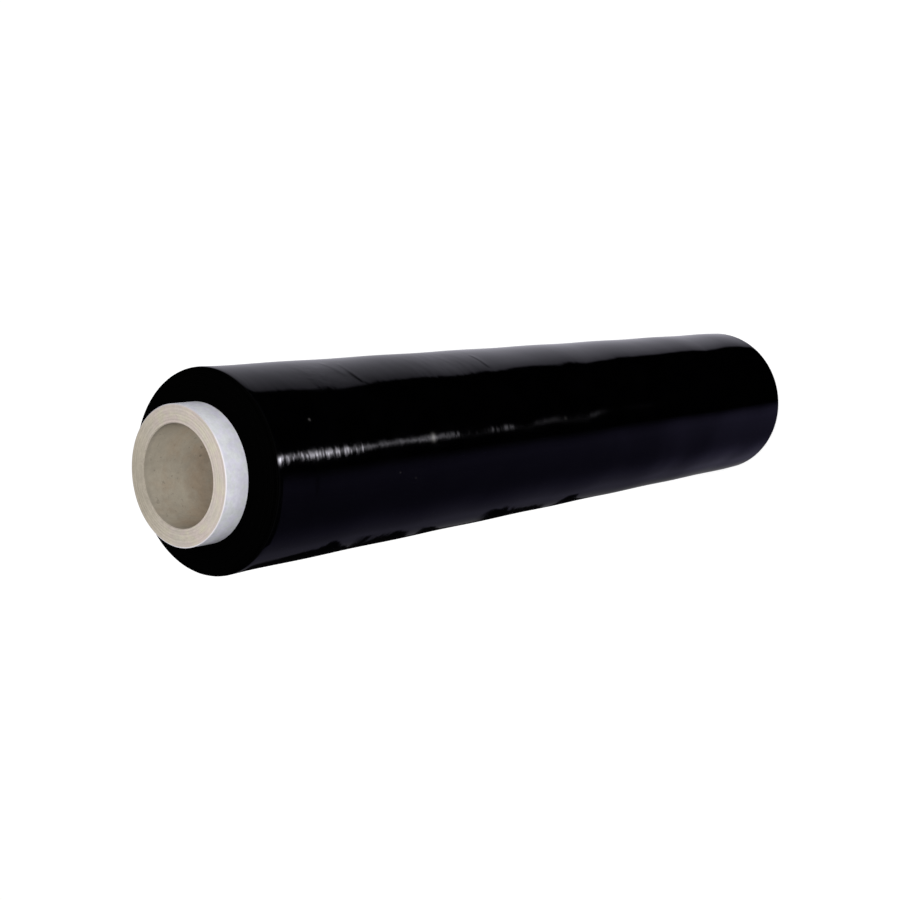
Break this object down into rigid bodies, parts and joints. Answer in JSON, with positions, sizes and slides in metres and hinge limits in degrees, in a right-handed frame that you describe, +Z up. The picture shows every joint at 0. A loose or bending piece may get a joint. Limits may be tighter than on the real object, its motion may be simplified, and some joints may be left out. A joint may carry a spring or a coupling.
{
  "type": "stretch wrap roll",
  "caption": "Roll of glossy black stretch film wound on a thick paperboard core that sticks out at both ends.",
  "frame": {"origin": "centre of the core's lower end, on the surface that the roll stands on", "axes": "+Z up along the roll's axis, out of the core's upper end; the outermost turn's end is on the +Y side"},
  "size_m": [0.101, 0.101, 0.527],
  "materials": {
    "board": "matt grey-beige board, with a smooth white outer ply",
    "film": "jet black, smooth and very glossy"
  },
  "bodies": {
    "root": {"core": "board", "film": "film"}
  },
  "joints": []
}
